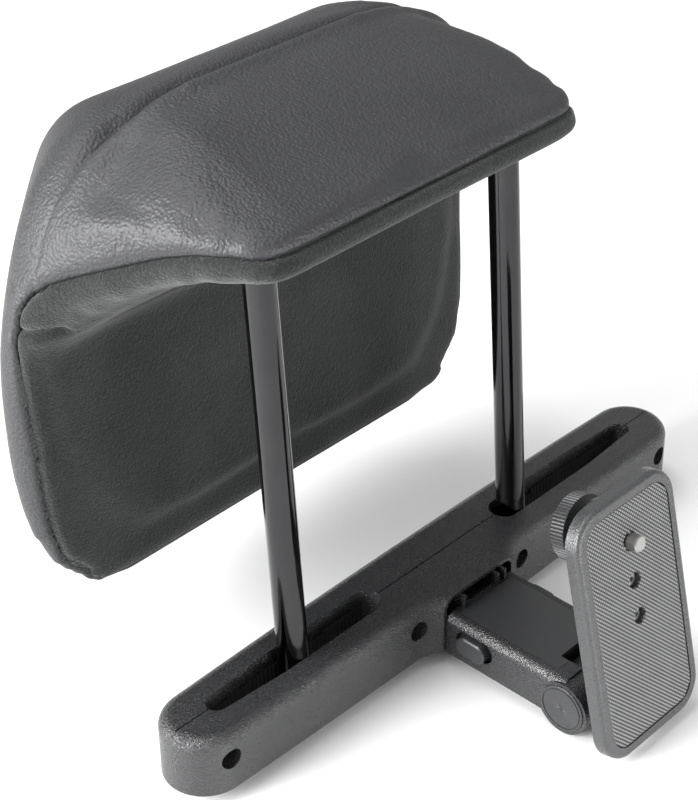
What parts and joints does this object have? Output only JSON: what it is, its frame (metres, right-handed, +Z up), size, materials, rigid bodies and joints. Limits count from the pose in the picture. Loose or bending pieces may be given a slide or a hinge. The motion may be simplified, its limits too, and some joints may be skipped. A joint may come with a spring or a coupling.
{
  "type": "seat headrest with tablet clamp bar",
  "caption": "padded seat headrest on leaning posts with a clamp bar, a short arm and a tilting plate for a tablet or camera",
  "frame": {"origin": "midway between the two posts' axes at the level of the posts' lower ends, which is the clamp bar's underside at rest", "axes": "+X along the clamp bar, +Y from the arm to the padded side, +Z up; the posts lean to +Y as they rise"},
  "size_m": [0.287, 0.2362, 0.2311],
  "materials": {
    "bar_plastic": "satin",
    "grip_rubber": "matte",
    "fastener_steel": "satin",
    "arm_plastic": "satin",
    "arm_lid": "satin",
    "washer_plastic": "satin",
    "button_plastic": "satin",
    "spring_steel": "satin",
    "plate_plastic": "satin",
    "pad_rubber": "matte",
    "bracket_plastic": "satin",
    "wheel_plastic": "satin",
    "post_chrome": "gloss",
    "frame_steel": "satin",
    "foam": "matte",
    "suede": "matte",
    "leather": "satin"
  },
  "bodies": {
    "headrest": {"left_post": "post_chrome", "right_post": "post_chrome", "frame_plate": "frame_steel", "post_collars": "frame_steel", "pad_foam": "foam", "flap_foam": "foam", "suede_back_panel": "suede", "suede_flap_band": "suede", "leather_top_panel": "leather", "leather_front_cover": "leather"},
    "clamp_bar": {"bar_front_half": "bar_plastic", "bar_rear_half": "bar_plastic", "grip_strip_front_left": "grip_rubber", "grip_strip_front_right": "grip_rubber", "grip_strip_rear_left": "grip_rubber", "grip_strip_rear_right": "grip_rubber", "clamp_screws": "fastener_steel", "clamp_nuts": "fastener_steel", "arm_shell": "arm_plastic", "arm_top_lid": "arm_lid", "arm_base_cover": "arm_plastic", "base_cover_screws": "fastener_steel", "hinge_bolt": "fastener_steel", "hinge_nut": "fastener_steel", "friction_washers": "washer_plastic", "left_hinge_cap": "arm_lid", "right_hinge_cap": "arm_lid", "left_button_spring": "spring_steel", "right_button_spring": "spring_steel"},
    "left_button": {"left_release_button": "button_plastic"},
    "right_button": {"right_release_button": "button_plastic"},
    "device_plate": {"plate_body": "plate_plastic", "rubber_pad": "pad_rubber", "plate_bracket": "bracket_plastic", "bracket_screws": "fastener_steel", "screw_clip": "spring_steel"},
    "screw_wheel": {"thumb_wheel": "wheel_plastic", "camera_screw": "fastener_steel"}
  },
  "joints": [
    {"name": "bar_height", "type": "slide", "parent": "headrest", "child": "clamp_bar", "axis": [0, 0.0656, 0.9978], "range_m": [0, 0.13]},
    {"name": "left_button_press", "type": "slide", "parent": "clamp_bar", "child": "left_button", "axis": [1, 0, 0], "range_m": [0, 0.0024], "stiffness_N_per_m": 600, "springref_m": -0.002, "deforming": ["left_button_spring"]},
    {"name": "right_button_press", "type": "slide", "parent": "clamp_bar", "child": "right_button", "axis": [-1, 0, 0], "range_m": [0, 0.0024], "stiffness_N_per_m": 600, "springref_m": -0.002, "deforming": ["right_button_spring"]},
    {"name": "plate_tilt", "type": "hinge", "parent": "clamp_bar", "child": "device_plate", "pos_m": [0.01785, -0.07883, 0.006], "axis": [1, 0, 0], "range_deg": [-45, 75]},
    {"name": "wheel_spin", "type": "hinge", "parent": "device_plate", "child": "screw_wheel", "pos_m": [0.01785, -0.06319, 0.07269], "axis": [0, -0.9736, 0.2284], "continuous": true}
  ]
}
